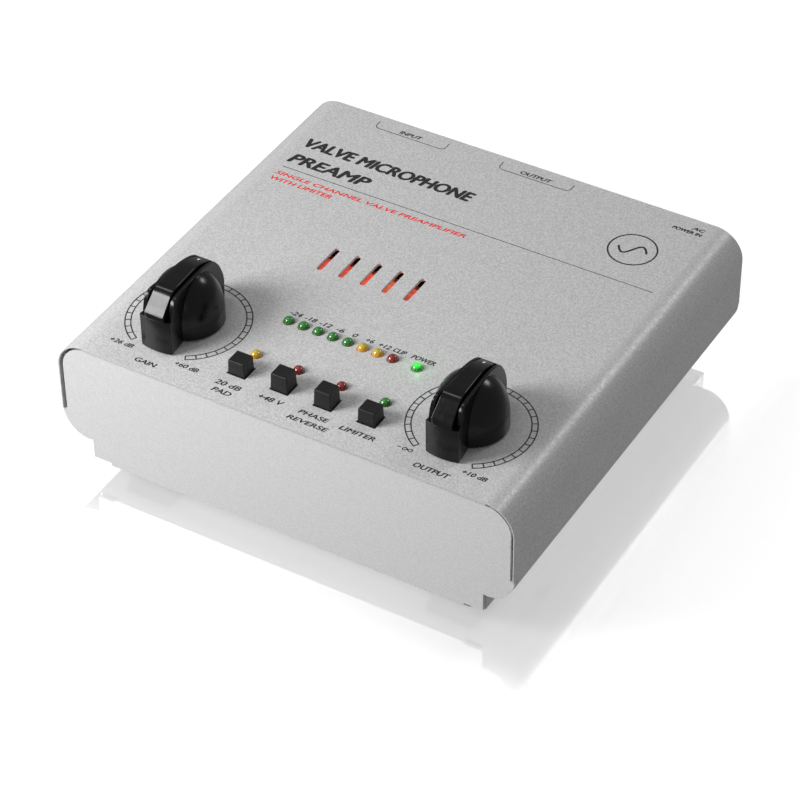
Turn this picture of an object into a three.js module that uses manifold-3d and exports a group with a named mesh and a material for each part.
// A small desktop valve microphone preamp: a folded steel case with two knobs, four push
// buttons and a row of lamps on its flat top, and sockets on its back.
//
// Millimetres, +Z up, +X to the right, +Y to the back. Inside this file y is counted from the
// case's front edge; the exported group is shifted so that its origin is the bottom centre of
// the whole object.

import * as THREE from 'three';
import { mergeVertices } from 'three/addons/utils/BufferGeometryUtils.js';
import Module from 'manifold-3d';

const wasm = await Module();
wasm.setup();

// ---------------------------------------------------------------- driving dimensions

const gap = 0.3;                 // clearance between pieces that touch
const sheet = 0.9;               // thickness of the folded steel sheet

const caseWidth = 134;
const caseDepth = 126.8;
const topZ = 43.4;               // outer face of the top cover
const footHeight = 6;
const topBend = 8.4;             // outer radius of the cover's two top bends
const lowBend = 8;               // outer radius of the curl under each side
const lowBendZ = 20.4;           // height of that curl's centre
const lowWallX = 58.5;           // outer face of the cover's lower walls
const panelRecess = 0.4;         // front and rear panels sit this far inside the cover
const panelInset = 1.25;         // their edge, in from the cover's outer face
const rearReach = 2.6;           // the sockets stand this far out of the case's back
const overallDepth = caseDepth + rearReach;

const halfWidth = caseWidth / 2;
const underTopZ = topZ - sheet;
const rearFaceY = caseDepth - panelRecess;

const knobX = 41.75;
const knobY = 23.67;
const buttonX = [-18.85, -6.15, 6.55, 19.25];
const buttonY = 12.9;
const buttonLampY = 20;
const meterX = -18.85;
const meterPitch = 4.42;
const meterLamps = 8;
const meterY = 35.75;
const powerLampX = 19.25;

const slotX = -10.57;            // middle one of the vent slots over the valve
const slotPitch = 6.58;
const slots = 5;
const slotWidth = 1.65;
const slotFrontY = 57.95;
const slotBackY = 68.5;

const boardThickness = 1.6;
const controlBoardZ = 30.4;
const mainBoardZ = 10.2;
const controlBoardTop = controlBoardZ + boardThickness;
const mainBoardTop = mainBoardZ + boardThickness;

const buttonTravel = 2;
const latchedDrop = 0.8;         // how much lower a latched button stands

const socketZ = 24.2;
const inputXlrX = -44;
const inputJackX = -22;
const outputJackX = -4.75;
const outputXlrX = 17.3;
const powerJackX = 53;

// ---------------------------------------------------------------- materials

const looks = {
  paint: { color: 0xc9c9c9, roughness: 0.45, metalness: 0.35 },
  chassisPaint: { color: 0xd2d2d2, roughness: 0.5, metalness: 0.3 },
  rubber: { color: 0x1b1b1b, roughness: 0.9, metalness: 0 },
  knob: { color: 0x101010, roughness: 0.25, metalness: 0 },
  knobInsert: { color: 0x141414, roughness: 0.2, metalness: 0 },
  button: { color: 0x222222, roughness: 0.5, metalness: 0 },
  greenLens: { color: 0x2a7a22, roughness: 0.2, metalness: 0 },
  amberLens: { color: 0xc89a10, roughness: 0.2, metalness: 0 },
  redLens: { color: 0x7d1a14, roughness: 0.2, metalness: 0 },
  screw: { color: 0x9a9a9a, roughness: 0.3, metalness: 0.9 },
  socket: { color: 0x161616, roughness: 0.45, metalness: 0 },
  metal: { color: 0xb8b8b8, roughness: 0.3, metalness: 0.9 },
  board: { color: 0x1d5a2c, roughness: 0.5, metalness: 0 },
  potCase: { color: 0x8f8f8f, roughness: 0.4, metalness: 0.7 },
  switchCase: { color: 0xdedede, roughness: 0.5, metalness: 0 },
  glass: { color: 0xdfe6e6, roughness: 0.05, metalness: 0, transparent: true, opacity: 0.35 },
  electrode: { color: 0x55565a, roughness: 0.5, metalness: 0.6 },
  ceramic: { color: 0xe8e2d0, roughness: 0.6, metalness: 0 },
  capacitor: { color: 0x1c2440, roughness: 0.35, metalness: 0 },
  ribbon: { color: 0xa9a9a4, roughness: 0.6, metalness: 0 },
  heatSink: { color: 0x2a2a2c, roughness: 0.5, metalness: 0.6 },
};

// ---------------------------------------------------------------- solids and geometry

// A closed manifold from a three.js geometry, with shared corners merged.
function solid(geometry) {
  const bare = geometry.clone();
  bare.deleteAttribute('normal');
  bare.deleteAttribute('uv');
  const merged = mergeVertices(bare, 1e-4);
  const corners = merged.index.array;
  const triVerts = [];
  for (let i = 0; i < corners.length; i += 3) {
    const [a, b, c] = corners.slice(i, i + 3);
    if (a !== b && b !== c && c !== a) triVerts.push(a, b, c);
  }
  return new wasm.Manifold(new wasm.Mesh({
    numProp: 3,
    vertProperties: Float32Array.from(merged.attributes.position.array),
    triVerts: Uint32Array.from(triVerts),
  }));
}

function geometryOf(body) {
  const mesh = body.getMesh();
  const geometry = new THREE.BufferGeometry();
  geometry.setAttribute('position', new THREE.BufferAttribute(mesh.vertProperties, 3));
  geometry.setIndex(new THREE.BufferAttribute(mesh.triVerts, 1));
  const flat = geometry.toNonIndexed();
  flat.computeVertexNormals();
  return flat;
}

const joined = (first, ...rest) => rest.reduce((body, other) => body.add(other), first);
const cut = (first, ...rest) => rest.reduce((body, other) => body.subtract(other), first);

function box([x0, x1], [y0, y1], [z0, z1]) {
  const geometry = new THREE.BoxGeometry(x1 - x0, y1 - y0, z1 - z0);
  geometry.translate((x0 + x1) / 2, (y0 + y1) / 2, (z0 + z1) / 2);
  return solid(geometry);
}

const centredBox = (x, y, halfX, halfY, z) => box([x - halfX, x + halfX], [y - halfY, y + halfY], z);

// Each axis's turn takes three.js's own direction (+Y for a cylinder, +Z for an extrusion) to it.
function cylinder(axis, radius, [from, to], segments = 20) {
  const geometry = new THREE.CylinderGeometry(radius, radius, to - from, segments);
  geometry.translate(0, (from + to) / 2, 0);
  if (axis === 'z') geometry.rotateX(Math.PI / 2);
  if (axis === 'x') geometry.rotateZ(-Math.PI / 2);
  return solid(geometry);
}

// A turned solid about +Z; the profile runs [radius, z] upwards from the axis to the axis.
function turned(profile, segments = 24) {
  const geometry = new THREE.LatheGeometry(profile.map(([r, z]) => new THREE.Vector2(r, z)), segments);
  geometry.rotateX(Math.PI / 2);
  return solid(geometry);
}

// A straight solid from an outline: 'z' takes (x, y), 'y' takes (x, z), 'x' takes (y, z).
function extruded(axis, shape, [from, to], curveSegments = 6) {
  const options = { depth: to - from, bevelEnabled: false, curveSegments };
  const geometry = new THREE.ExtrudeGeometry(shape, options);
  if (axis === 'z') geometry.translate(0, 0, from);
  if (axis === 'y') {
    geometry.rotateX(Math.PI / 2);
    geometry.translate(0, to, 0);
  }
  if (axis === 'x') {
    geometry.rotateX(Math.PI / 2);
    geometry.rotateZ(Math.PI / 2);
    geometry.translate(from, 0, 0);
  }
  return solid(geometry);
}

function outline(points) {
  return new THREE.Shape(points.map(([a, b]) => new THREE.Vector2(a, b)));
}

function roundedRectangle(halfX, halfY, radius) {
  const shape = new THREE.Shape();
  shape.moveTo(-halfX + radius, -halfY);
  shape.absarc(halfX - radius, -halfY + radius, radius, -Math.PI / 2, 0, false);
  shape.absarc(halfX - radius, halfY - radius, radius, 0, Math.PI / 2, false);
  shape.absarc(-halfX + radius, halfY - radius, radius, Math.PI / 2, Math.PI, false);
  shape.absarc(-halfX + radius, -halfY + radius, radius, Math.PI, Math.PI * 1.5, false);
  return shape;
}

function place(group, name, body, look, position = [0, 0, 0]) {
  const mesh = new THREE.Mesh(geometryOf(body), new THREE.MeshStandardMaterial(look));
  mesh.name = name;
  mesh.position.set(...position);
  group.add(mesh);
}

// ---------------------------------------------------------------- case

// Points of a circular bend, from angle a to angle b in degrees.
function bend(x, z, radius, a, b, steps = 5) {
  const points = [];
  for (let i = 0; i <= steps; i += 1) {
    const angle = THREE.MathUtils.degToRad(a + ((b - a) * i) / steps);
    points.push([x + radius * Math.cos(angle), z + radius * Math.sin(angle)]);
  }
  return points;
}

// The case's right-hand outline from its foot up to the middle of the top, set in by d.
function halfOutline(d, bottomZ) {
  const bendX = halfWidth - lowBend;
  const kink = 86;               // the curl stops just short of a quarter turn
  return [
    [lowWallX - d, bottomZ],
    [lowWallX - d, lowBendZ - lowBend + d],
    ...bend(bendX, lowBendZ, lowBend - d, -kink, 0),
    ...bend(halfWidth - topBend, topZ - topBend, topBend - d, 0, 90),
  ];
}

const mirrored = points => points.map(([x, z]) => [-x, z]).reverse();

function ventSlots() {
  const bodies = [];
  const middle = (slots - 1) / 2;
  const half = (slotBackY - slotFrontY) / 2;
  for (let i = 0; i < slots; i += 1) {
    const shape = roundedRectangle(slotWidth / 2, half, slotWidth / 2 - 0.01);
    const slot = extruded('z', shape, [underTopZ - 1, topZ + 1], 2);
    bodies.push(slot.translate([slotX + (i - middle) * slotPitch, slotFrontY + half, 0]));
  }
  return bodies;
}

function lampPlaces() {
  const places = [];
  for (let i = 0; i < meterLamps; i += 1) places.push([meterX + i * meterPitch, meterY]);
  places.push([powerLampX, meterY]);
  buttonX.forEach(x => places.push([x, buttonLampY]));
  return places;
}

const lampRadius = 1.52;
const buttonHalf = [2.52, 2.42];
const sideScrewY = [31.5, 95];
const sideScrewZ = 9.2;
const sideScrewHole = 1.75;

function topCover() {
  const wallBottom = footHeight + 0.4;
  const outside = halfOutline(0, wallBottom);
  const inside = halfOutline(sheet, wallBottom);
  const outer = [...outside, ...mirrored(outside)];
  const inner = [...inside, ...mirrored(inside)];
  const ring = [...outer, ...inner.reverse()];
  const shell = extruded('y', outline(ring), [0, caseDepth]);

  // Front and rear panels lie over the ends of the curled lower sides.
  const panelRoom = panelRecess + sheet + gap;
  const below = [footHeight - 1, lowBendZ];
  const frontNotch = box([-halfWidth - 1, halfWidth + 1], [-1, panelRoom], below);
  const rearNotch = box([-halfWidth - 1, halfWidth + 1], [caseDepth - panelRoom, caseDepth + 1], below);

  const throughTop = [underTopZ - 1, topZ + 1];
  const holes = lampPlaces().map(([x, y]) =>
    cylinder('z', lampRadius + 0.1, throughTop, 12).translate([x, y, 0]));
  for (const side of [-1, 1]) {
    holes.push(cylinder('z', 4.2, throughTop).translate([side * knobX, knobY, 0]));
  }
  for (const x of buttonX) {
    holes.push(centredBox(x, buttonY, buttonHalf[0] + 0.3, buttonHalf[1] + 0.3, throughTop));
  }
  for (const y of sideScrewY) {
    holes.push(cylinder('x', sideScrewHole, [-halfWidth, halfWidth], 12).translate([0, y, sideScrewZ]));
  }

  // Four studs under the top carry the control board.
  const studs = [];
  for (const x of [-55, 55]) {
    for (const y of [7.5, 41]) {
      studs.push(cylinder('z', 2.4, [controlBoardTop + 0.1, underTopZ + 0.1], 12).translate([x, y, 0]));
    }
  }
  return joined(cut(shell, frontNotch, rearNotch, ...holes, ...ventSlots()), ...studs);
}

// One end panel, seen along y: inside the cover above the curl, over its edge below.
function endPanelShape() {
  const upperX = halfWidth - panelInset;
  const upperZ = topZ - panelInset;
  const corner = topBend - panelInset;
  const right = [
    [lowWallX - 0.2, footHeight],
    [lowWallX - 0.2, lowBendZ - lowBend + 0.2],
    ...bend(halfWidth - lowBend, lowBendZ, lowBend, -84, -1),
    [upperX, lowBendZ],
    ...bend(upperX - corner, upperZ - corner, corner, 0, 90),
  ];
  return outline([...right, ...mirrored(right)]);
}

const xlrHoleRadius = 11.9;
const jackBushRadius = 4.6;
const xlrScrewPlaces = [[-9.5, 12], [9.5, -12]];

function socketHoles() {
  const through = [caseDepth - 4, caseDepth + 1];
  const holes = [];
  for (const x of [inputXlrX, outputXlrX]) {
    holes.push(cylinder('y', xlrHoleRadius, through).translate([x, 0, socketZ]));
    for (const [dx, dz] of xlrScrewPlaces) {
      holes.push(cylinder('y', 1.6, through, 12).translate([x + dx, 0, socketZ + dz]));
    }
  }
  for (const x of [inputJackX, outputJackX]) {
    holes.push(cylinder('y', jackBushRadius + 0.2, through).translate([x, 0, socketZ]));
  }
  holes.push(box([powerJackX - 4.2, powerJackX + 4.2], through, [mainBoardTop, mainBoardTop + 11]));
  return holes;
}

const chassisFloorX = lowWallX - sheet - 0.3;
const footX = 45.8;
const footY = [12.6, caseDepth - 12.6];

function chassis() {
  const front = extruded('y', endPanelShape(), [panelRecess, panelRecess + sheet]);
  const rear = extruded('y', endPanelShape(), [rearFaceY - sheet, rearFaceY]);
  const rearPanel = cut(rear, ...socketHoles());

  const frontInside = panelRecess + sheet;
  const floorY = [frontInside - 0.1, caseDepth - frontInside + 0.1];
  const base = box([-chassisFloorX, chassisFloorX], floorY, [footHeight, footHeight + sheet]);

  const flanges = [];
  const corners = [];
  for (const side of [-1, 1]) {
    const x = [side * (chassisFloorX - sheet), side * chassisFloorX].sort((a, b) => a - b);
    const wall = box(x, [14, 110], [footHeight, footHeight + 8]);
    const bores = sideScrewY.map(y =>
      cylinder('x', sideScrewHole, [-halfWidth, halfWidth], 12).translate([0, y, sideScrewZ]));
    flanges.push(cut(wall, ...bores));
    // Relief notches at the bends' ends.
    for (const y of [[0, 2.4], [caseDepth - 2.4, caseDepth]]) {
      corners.push(box([side * 55.7 - 2.8, side * 55.7 + 2.8], y, [footHeight - 1, footHeight + sheet]));
    }
  }

  // Pillars formed up from the floor carry the main board.
  const pillars = [];
  for (const x of [-50, 50]) {
    for (const y of [16, 100]) {
      pillars.push(cylinder('z', 3, [footHeight + 0.1, mainBoardZ - 0.1], 12).translate([x, y, 0]));
    }
  }
  const feetHoles = [];
  for (const x of [-footX, footX]) {
    for (const y of footY) {
      feetHoles.push(cylinder('z', 2, [footHeight - 1, footHeight + sheet + 1], 12).translate([x, y, 0]));
    }
  }
  const folded = cut(joined(front, rearPanel, base, ...flanges), ...corners, ...feetHoles);
  return joined(folded, ...pillars);
}

// A square rubber foot with a thin flange against the case and a stub through the floor.
function foot() {
  const flange = extruded('z', roundedRectangle(7.3, 7.3, 1.5), [footHeight - 1, footHeight - 0.02], 2);
  const block = extruded('z', roundedRectangle(6.5, 6.5, 1.2), [0, footHeight - 0.9], 2);
  const stub = cylinder('z', 1.8, [footHeight - 0.5, footHeight + sheet + 0.8], 12);
  return joined(block, flange, stub);
}

// A pan-head screw, its head towards +Z with a cross recess, its shank along -Z.
function panScrew(headRadius, headHeight, shankRadius, shankLength) {
  const rise = headHeight * 0.55;
  const head = turned([
    [0, -shankLength], [shankRadius, -shankLength], [shankRadius, 0], [headRadius, 0],
    [headRadius, headHeight - rise], [headRadius * 0.75, headHeight - rise * 0.3], [0, headHeight],
  ], 12);
  const arm = headRadius * 0.5;
  const depth = [headHeight * 0.35, headHeight + 1];
  const slot = headRadius * 0.11;
  const recess = joined(centredBox(0, 0, arm, slot, depth), centredBox(0, 0, slot, arm, depth));
  return cut(head, recess);
}

function buildCase(group) {
  place(group, 'top_cover', topCover(), looks.paint);
  place(group, 'chassis', chassis(), looks.chassisPaint);
  for (const [xName, x] of [['left', -footX], ['right', footX]]) {
    place(group, `foot_front_${xName}`, foot(), looks.rubber, [x, footY[0], 0]);
    place(group, `foot_rear_${xName}`, foot(), looks.rubber, [x, footY[1], 0]);
  }
  const screw = panScrew(3, 1.9, 1.45, 3.4);
  for (const [sideName, side] of [['left', -1], ['right', 1]]) {
    const outwards = screw.rotate([0, side * 90, 0]);
    const headSeat = side * (lowWallX + 0.1);
    ['front', 'rear'].forEach((end, i) => {
      const seat = [headSeat, sideScrewY[i], sideScrewZ];
      place(group, `side_screw_${sideName}_${end}`, outwards, looks.screw, seat);
    });
  }
}

// ---------------------------------------------------------------- knobs

const knobLift = 0.3;            // the knob's underside stands this far over the cover
const domeRadius = 9.6;
const domeSkirt = 3.2;
const domeTop = 15.9;
const lipTop = 15.9;
const lipFront = -13.3;          // the lips start this far in front of the axis
const insertTop = 16.9;
const insertBottom = 10.3;
const insertBack = 8;
const wingReach = 15.3;          // the wing's rounded front end, from the knob's axis
const wingWaist = -7.7;
const wingBack = 12.6;
const wingHalves = [4.65, 3.9, 3];         // half widths at the front, the waist and the back
const insertHalves = [2.95, 2.6, 1.75];
const groove = 0.5;
const shaftRadius = 3;
const shaftBore = 3.08;

// Two half domes beside the wing, as one turned body with a soft square profile.
function knobDome() {
  const power = 2.2;
  const steps = 6;
  const profile = [[0, knobLift], [domeRadius - 0.3, knobLift]];
  for (let i = 0; i < steps; i += 1) {
    const t = i / steps;
    profile.push([domeRadius * (1 - t ** power) ** (1 / power), domeSkirt + (domeTop - domeSkirt) * t]);
  }
  profile.push([0, domeTop]);
  return turned(profile, 24);
}

// Side outlines in (y, z), begun at the wing's foot behind the axis and ending over its front.
function fallingBack(top) {
  const shape = new THREE.Shape();
  shape.moveTo(wingBack - 0.3, knobLift);
  shape.lineTo(wingBack, 5.2);
  shape.bezierCurveTo(wingBack - 0.1, 8, 11, 11.5, 8.7, 14);
  shape.bezierCurveTo(6.5, 15.2, 3.5, top, 0, top);
  return shape;
}

// The body: two lips that stand back from a tall front block.
function bodySide() {
  const shape = fallingBack(lipTop);
  shape.lineTo(-9, lipTop);
  shape.bezierCurveTo(-12, lipTop, -12.8, 14.2, lipFront, insertBottom);
  shape.lineTo(-wingReach - 0.2, insertBottom);
  shape.lineTo(-wingReach - 0.2, knobLift);
  return shape;
}

// The insert: a flat top that rolls over in two bends and ends flush with the front block.
function insertSide() {
  const shape = fallingBack(insertTop);
  shape.lineTo(-7.5, insertTop);
  shape.bezierCurveTo(-9.5, insertTop, -10.6, 16.3, -11.6, 15.1);
  shape.lineTo(-13.6, 13.3);
  shape.bezierCurveTo(-14.6, 12.3, -15.5, 11.6, -wingReach - 0.2, insertBottom);
  shape.lineTo(-wingReach - 0.2, knobLift);
  return shape;
}

// A plan in (x, y) that tapers towards the back, with a front arc about the axis.
function wingPlan([frontHalf, waistHalf, backHalf], reach) {
  const shape = new THREE.Shape();
  const frontY = -Math.sqrt(reach ** 2 - frontHalf ** 2);
  const angle = Math.asin(frontHalf / reach);
  shape.moveTo(frontHalf, frontY);
  shape.lineTo(waistHalf, wingWaist);
  shape.lineTo(backHalf, wingBack + 0.5);
  shape.lineTo(-backHalf, wingBack + 0.5);
  shape.lineTo(-waistHalf, wingWaist);
  shape.lineTo(-frontHalf, frontY);
  shape.absarc(0, 0, reach, -Math.PI / 2 - angle, -Math.PI / 2 + angle, false);
  return shape;
}

function knobBody() {
  const side = extruded('x', bodySide(), [-5, 5], 5);
  const wing = side.intersect(extruded('z', wingPlan(wingHalves, wingReach), [knobLift, 20], 6));
  const grooveHalves = insertHalves.map(half => half + groove);
  const channel = cut(
    extruded('z', wingPlan(grooveHalves, wingReach + 1), [insertBottom, 20], 2),
    box([-5, 5], [insertBack + gap, 20], [insertBottom - 1, 21]),
  );
  const bore = cylinder('z', shaftBore, [-1, insertBottom - 1]);
  return cut(joined(knobDome(), wing), channel, bore);
}

// The strip along the wing's top, with a foot that stands in the knob's channel.
function knobInsert() {
  const side = extruded('x', insertSide(), [-5, 5], 5);
  const strip = side.intersect(extruded('z', wingPlan(insertHalves, wingReach), [knobLift, 20], 6));
  const under = box([-5, 5], [-20, 20], [-1, insertBottom + gap]);
  const behind = box([-5, 5], [insertBack, 20], [-1, 20]);
  return cut(strip, under, behind);
}

const shaftBottom = 34;

function buildKnobs(group) {
  for (const [name, side] of [['gain', -1], ['output', 1]]) {
    const knob = new THREE.Group();
    knob.position.set(side * knobX, knobY, topZ);
    place(knob, `${name}_knob`, knobBody(), looks.knob);
    place(knob, `${name}_knob_insert`, knobInsert(), looks.knobInsert);
    group.add(knob);

    const pot = new THREE.Group();
    pot.position.set(side * knobX, knobY, 0);
    const shaft = cylinder('z', shaftRadius, [shaftBottom, topZ + insertBottom - 2]);
    place(pot, `${name}_pot_shaft`, shaft, looks.metal);
    place(pot, `${name}_pot`, potBody(), looks.potCase);
    group.add(pot);
  }
}

function potBody() {
  const canTop = topZ - 4.8;
  const can = extruded('z', roundedRectangle(6.2, 6.6, 1), [controlBoardTop + 0.1, canTop], 3);
  const bush = cylinder('z', 3.9, [canTop - 0.1, topZ - 0.2]);
  return cut(joined(can, bush), cylinder('z', shaftBore, [shaftBottom - 0.3, topZ + 1]));
}

// ---------------------------------------------------------------- buttons and lamps

const buttonHeight = 5;          // above the cover, when not latched
const capBottomZ = topZ - 1.8;
const stemBottomZ = 36.5;
const stemHalf = 1.5;

// A cap with slightly drawn-in sides and a chamfered rim, and a stem down to its switch.
function buttonCap() {
  const [halfX, halfY] = buttonHalf;
  const top = topZ + buttonHeight;
  const layers = [[capBottomZ, 0], [topZ, 0], [top - 0.35, 0.12], [top, 0.45]];
  const ring = layers.map(([z, inset]) => {
    const x = halfX - inset;
    const y = halfY - inset;
    return [[-x, -y, z], [x, -y, z], [x, y, z], [-x, y, z]];
  });
  const corners = ring.flat();
  const faces = [0, 2, 1, 0, 3, 2];
  const last = (ring.length - 1) * 4;
  faces.push(last, last + 1, last + 2, last, last + 2, last + 3);
  for (let layer = 0; layer < ring.length - 1; layer += 1) {
    for (let i = 0; i < 4; i += 1) {
      const a = layer * 4 + i;
      const b = layer * 4 + ((i + 1) % 4);
      faces.push(a, b, b + 4, a, b + 4, a + 4);
    }
  }
  const geometry = new THREE.BufferGeometry();
  geometry.setAttribute('position', new THREE.Float32BufferAttribute(corners.flat(), 3));
  geometry.setIndex(faces);
  const stem = centredBox(0, 0, stemHalf, stemHalf, [stemBottomZ, capBottomZ + 0.5]);
  return joined(solid(geometry), stem);
}

// A latching push switch standing on the control board, open at the top for the stem.
function switchBody() {
  const body = extruded('z', roundedRectangle(3.8, 3.8, 0.5), [controlBoardTop + 0.1, capBottomZ - 2.2], 2);
  const well = centredBox(0, 0, stemHalf + 0.3, stemHalf + 0.3, [stemBottomZ - buttonTravel - 0.6, topZ]);
  return cut(body, well);
}

const buttonNames = ['pad', 'phantom', 'phase', 'limiter'];
const latchedButtons = ['pad', 'limiter'];

function buildButtons(group) {
  buttonNames.forEach((name, i) => {
    const z = latchedButtons.includes(name) ? -latchedDrop : 0;
    place(group, `${name}_button`, buttonCap(), looks.button, [buttonX[i], buttonY, z]);
    place(group, `${name}_switch`, switchBody(), looks.switchCase, [buttonX[i], buttonY, 0]);
  });
}

// A 3 mm lamp: a domed body through the cover, a flange below it and two legs to the board.
function lamp() {
  const flangeRadius = lampRadius + 0.35;
  const bottom = topZ - 4;
  const profile = [
    [0, bottom], [flangeRadius, bottom], [flangeRadius, bottom + 1], [lampRadius, bottom + 1], [lampRadius, topZ],
  ];
  const domeSteps = 4;
  for (let i = 1; i < domeSteps; i += 1) {
    const angle = (Math.PI / 2) * (i / domeSteps);
    profile.push([lampRadius * Math.cos(angle), topZ + lampRadius * Math.sin(angle) * 0.96]);
  }
  profile.push([0, topZ + lampRadius * 0.96]);
  const legs = [-1, 1].map(side => centredBox(side * 1.05, 0, 0.25, 0.25, [controlBoardTop + 0.1, bottom + 0.2]));
  return joined(turned(profile, 12), ...legs);
}

function buildLamps(group) {
  const lens = i => {
    if (i < 5) return looks.greenLens;
    return i < 7 ? looks.amberLens : looks.redLens;
  };
  for (let i = 0; i < meterLamps; i += 1) {
    place(group, `meter_led_${i + 1}`, lamp(), lens(i), [meterX + i * meterPitch, meterY, 0]);
  }
  place(group, 'power_led', lamp(), looks.greenLens, [powerLampX, meterY, 0]);
  const lenses = [looks.amberLens, looks.redLens, looks.redLens, looks.greenLens];
  buttonNames.forEach((name, i) => {
    place(group, `${name}_led`, lamp(), lenses[i], [buttonX[i], buttonLampY, 0]);
  });
}

// ---------------------------------------------------------------- sockets on the back

// These are built with y = 0 at the rear panel's outer face and +Y pointing out of the case.
const flangeFace = 2;            // outer face of a three-pin socket's flange
const cavityRadius = 9.5;
const cavityDepth = 14;
const pinCircle = 4;
const pinAngles = [30, 150, 270];

function xlrShell() {
  const flange = extruded('y', roundedRectangle(13, 15.5, 2.5), [0.1, flangeFace], 4);
  const barrel = cylinder('y', xlrHoleRadius - 0.3, [-19, 1]);
  const holes = xlrScrewPlaces.map(([x, z]) => cylinder('y', 1.6, [-1, 4], 12).translate([x, 0, z]));
  return cut(joined(flange, barrel), ...holes);
}

function pinPlaces() {
  return pinAngles.map(degrees => {
    const angle = THREE.MathUtils.degToRad(degrees);
    return [pinCircle * Math.cos(angle), pinCircle * Math.sin(angle)];
  });
}

const latchHalf = 2.5;
const latchTravel = 1;

// Female: a ring-shaped space round an insert with three pin holes, and a slot for the latch.
function inputXlr() {
  const cavity = [flangeFace - cavityDepth, flangeFace + 1];
  const insertRadius = 7.4;
  const insert = cylinder('y', insertRadius, [cavity[0] - 1, flangeFace - 0.4]);
  const space = cut(cylinder('y', cavityRadius, cavity), insert);
  const pinHoles = pinPlaces().map(([x, z]) =>
    cylinder('y', 1.4, [flangeFace - 12, flangeFace + 1], 12).translate([x, 0, z]));
  const latchSlot = box([-latchHalf - 0.3, latchHalf + 0.3], [-8, flangeFace + 1], [cavityRadius - 1, 14]);
  return cut(xlrShell(), space, ...pinHoles, latchSlot);
}

// The catch that holds a plug in: a stem in the slot and a thumb pad on the flange.
function inputLatch() {
  const half = latchHalf;
  const stem = box([-half, half], [-7.6, flangeFace - 0.5], [9.8, 11.3]);
  const pad = box([-half, half], [0.6, flangeFace + 0.8], [9.8, 13.6]);
  return joined(stem, pad);
}

// Male: an open cup with three pins on its floor.
function outputXlr() {
  const floor = flangeFace - cavityDepth;
  const cup = cylinder('y', cavityRadius, [floor, flangeFace + 1]);
  const pinTip = flangeFace - 5;
  const pins = pinPlaces().map(([x, z]) =>
    cylinder('y', 1.15, [floor - 1, pinTip], 12).translate([x, 0, z]));
  return joined(cut(xlrShell(), cup), ...pins);
}

const jackBoreRadius = 3.25;
const jackOut = rearReach + panelRecess;

function jackSocket() {
  const halfX = 7.4;
  const body = box([-halfX, halfX], [-24, -sheet - 0.3], [mainBoardTop - socketZ + 0.1, 7]);
  const bush = cylinder('y', jackBushRadius, [-2, jackOut]);
  return cut(joined(body, bush), cylinder('y', jackBoreRadius, [-21, jackOut + 1]));
}

function jackNut() {
  const hexagon = new THREE.CylinderGeometry(6.6, 6.6, 1.8, 6);
  return cut(solid(hexagon).translate([0, 1.1, 0]), cylinder('y', jackBushRadius + 0.1, [-1, 4]));
}

function powerJack() {
  const halfX = 4;
  const mouthZ = 6;
  const body = box([-halfX, halfX], [-13, -0.1], [0.1, 10.6]);
  const mouth = cylinder('y', 2.9, [-10, 1]).translate([0, 0, mouthZ]);
  const pin = cylinder('y', 1, [-11, -0.8], 12).translate([0, 0, mouthZ]);
  return joined(cut(body, mouth), pin);
}

function buildSockets(group) {
  const at = x => [x, rearFaceY, socketZ];
  place(group, 'input_xlr', inputXlr(), looks.socket, at(inputXlrX));
  place(group, 'input_xlr_latch', inputLatch(), looks.metal, at(inputXlrX));
  place(group, 'output_xlr', outputXlr(), looks.socket, at(outputXlrX));
  place(group, 'input_jack', jackSocket(), looks.socket, at(inputJackX));
  place(group, 'output_jack', jackSocket(), looks.socket, at(outputJackX));
  place(group, 'input_jack_nut', jackNut(), looks.metal, at(inputJackX));
  place(group, 'output_jack_nut', jackNut(), looks.metal, at(outputJackX));
  place(group, 'power_jack', powerJack(), looks.socket, [powerJackX, rearFaceY, mainBoardTop]);

  const screw = panScrew(2.4, 0.5, 1.3, 3.4).rotate([-90, 0, 0]);
  for (const [name, x] of [['input', inputXlrX], ['output', outputXlrX]]) {
    const [upper, lower] = xlrScrewPlaces;
    const seat = rearFaceY + flangeFace + 0.05;
    place(group, `${name}_xlr_screw_upper`, screw, looks.screw, [x + upper[0], seat, socketZ + upper[1]]);
    place(group, `${name}_xlr_screw_lower`, screw, looks.screw, [x + lower[0], seat, socketZ + lower[1]]);
  }
}

// ---------------------------------------------------------------- inside

const valveY = 63.2;
const valveZ = 30.2;
const valveRadius = 11;
const valveLeft = -36;
const valveRight = 12;

// The valve lies on its side under the slots: built about +Z with its tip down, then laid over.
function valveGlass() {
  const wall = 0.8;
  const length = valveRight - valveLeft;
  const outer = [[0, 0], [2, 0], [2.6, 2.4], [6, 3.4], [9.2, 5.2], [valveRadius, 9], [valveRadius, length]];
  const inner = [[valveRadius - wall, length], [valveRadius - wall, 9.4], [8.6, 6], [5.6, 4.3], [0, 3.6]];
  return turned([...outer, ...inner], 16);
}

function valveElectrodes() {
  const length = valveRight - valveLeft;
  const spacer = z => cylinder('z', 9.4, [z, z + 0.6], 12);
  const rods = [[-6.5, 0], [6.5, 0], [0, 6], [0, -6]].map(([x, y]) =>
    cylinder('z', 0.5, [12, length - 2], 6).translate([x, y, 0]));
  const plates = [-4.2, 4.2].map(x =>
    extruded('z', roundedRectangle(2.6, 4.6, 1.4), [14, 36], 1).translate([x, 0, 0]));
  const button = cylinder('z', valveRadius - 1.1, [length - 2.5, length + 0.5], 16);
  return joined(button, spacer(13), spacer(36), ...plates, ...rods);
}

function valveSocket() {
  const length = valveRight - valveLeft;
  return cylinder('z', 11.4, [length + 0.9, length + 9], 16);
}

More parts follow.
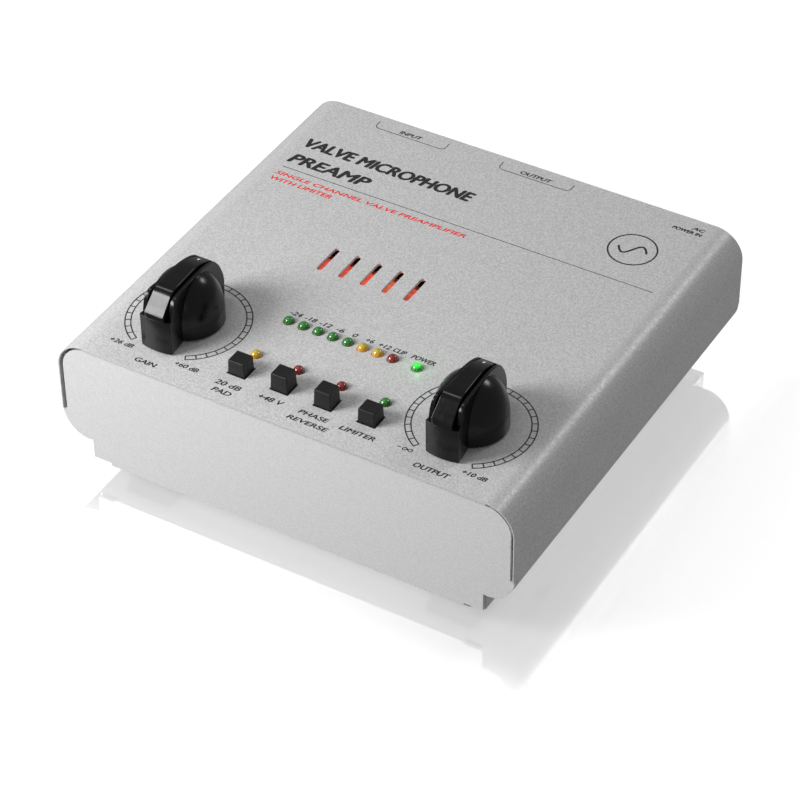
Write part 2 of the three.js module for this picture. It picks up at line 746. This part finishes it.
function electrolytic(radius, height) {
  return turned([
    [0, 0], [radius, 0], [radius, 1.6], [radius - 0.5, 2.1], [radius, 2.6],
    [radius, height - 0.4], [radius - 0.5, height], [0, height],
  ], 12);
}

// A finned heat sink for the supply regulator.
function heatSink() {
  const height = [0, 16.5];
  const back = box([-9, 9], [-1, 1], height);
  const fins = [-8, -4, 0, 4, 8].map(x => box([x - 0.6, x + 0.6], [0.5, 8], height));
  return joined(back, ...fins);
}

// The flat cable from the main board up to the control board, bent in a shallow C.
function ribbonCable() {
  const half = 0.45;
  const path = [[48, mainBoardTop + 0.3], [48, 17], [46.4, 21], [41.5, 25.6], [39.8, controlBoardZ - 0.3]];
  const front = path.map(([y, z]) => [y - half, z]);
  const back = path.map(([y, z]) => [y + half, z]).reverse();
  return extruded('x', outline([...front, ...back]), [-8, 8]);
}

function controlBoard() {
  return box([-59, 59], [3.2, 44], [controlBoardZ, controlBoardTop]);
}

function mainBoard() {
  return box([-54.8, 54.8], [9, 124.8], [mainBoardZ, mainBoardTop]);
}

function buildInside(group) {
  place(group, 'control_board', controlBoard(), looks.board);
  place(group, 'main_board', mainBoard(), looks.board);

  const valve = new THREE.Group();
  valve.position.set(valveLeft, valveY, valveZ);
  valve.rotation.y = Math.PI / 2;
  place(valve, 'valve_glass', valveGlass(), looks.glass);
  place(valve, 'valve_electrodes', valveElectrodes(), looks.electrode);
  place(valve, 'valve_socket', valveSocket(), looks.ceramic);
  group.add(valve);

  const floor = mainBoardTop + 0.1;
  place(group, 'supply_capacitor', electrolytic(8, 24), looks.capacitor, [40, 84, floor]);
  place(group, 'filter_capacitor', electrolytic(6.3, 20), looks.capacitor, [40, 62, floor]);
  place(group, 'heat_sink', heatSink(), looks.heatSink, [40, 34, floor - 0.02]);
  place(group, 'ribbon_cable', ribbonCable(), looks.ribbon);
}

// ---------------------------------------------------------------- the whole object

const preamp = new THREE.Group();
const body = new THREE.Group();
body.position.y = -overallDepth / 2;
preamp.add(body);

buildCase(body);
buildKnobs(body);
buildButtons(body);
buildLamps(body);
buildSockets(body);
buildInside(body);

export default preamp;
